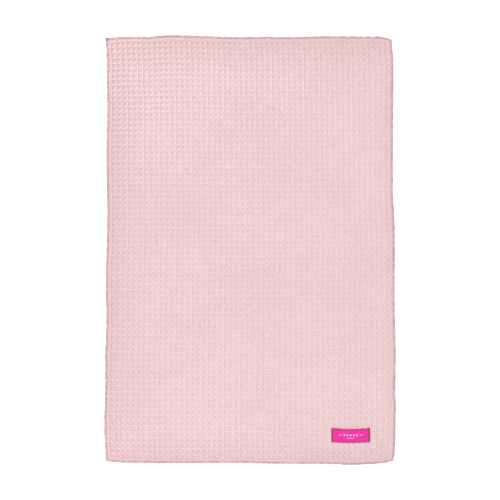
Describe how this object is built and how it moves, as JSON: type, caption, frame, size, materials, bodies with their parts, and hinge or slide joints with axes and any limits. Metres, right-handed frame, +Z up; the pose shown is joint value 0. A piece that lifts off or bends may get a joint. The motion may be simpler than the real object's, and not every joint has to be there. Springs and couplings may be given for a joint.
{
  "type": "hand towel",
  "caption": "Flat waffle-weave hand towel with an overlocked edge and a small sewn-on label, lying face up.",
  "frame": {"origin": "under the middle of the towel, on the surface that it lies on", "axes": "+Y along the towel's long side towards its top, +X to the right as it lies face up, +Z up"},
  "size_m": [0.4062, 0.598, 0.004],
  "materials": {
    "waffle_cloth": "matte",
    "edge_thread": "matte",
    "label_satin": "satin"
  },
  "bodies": {
    "root": {"towel": "waffle_cloth", "label": "label_satin"}
  },
  "joints": []
}
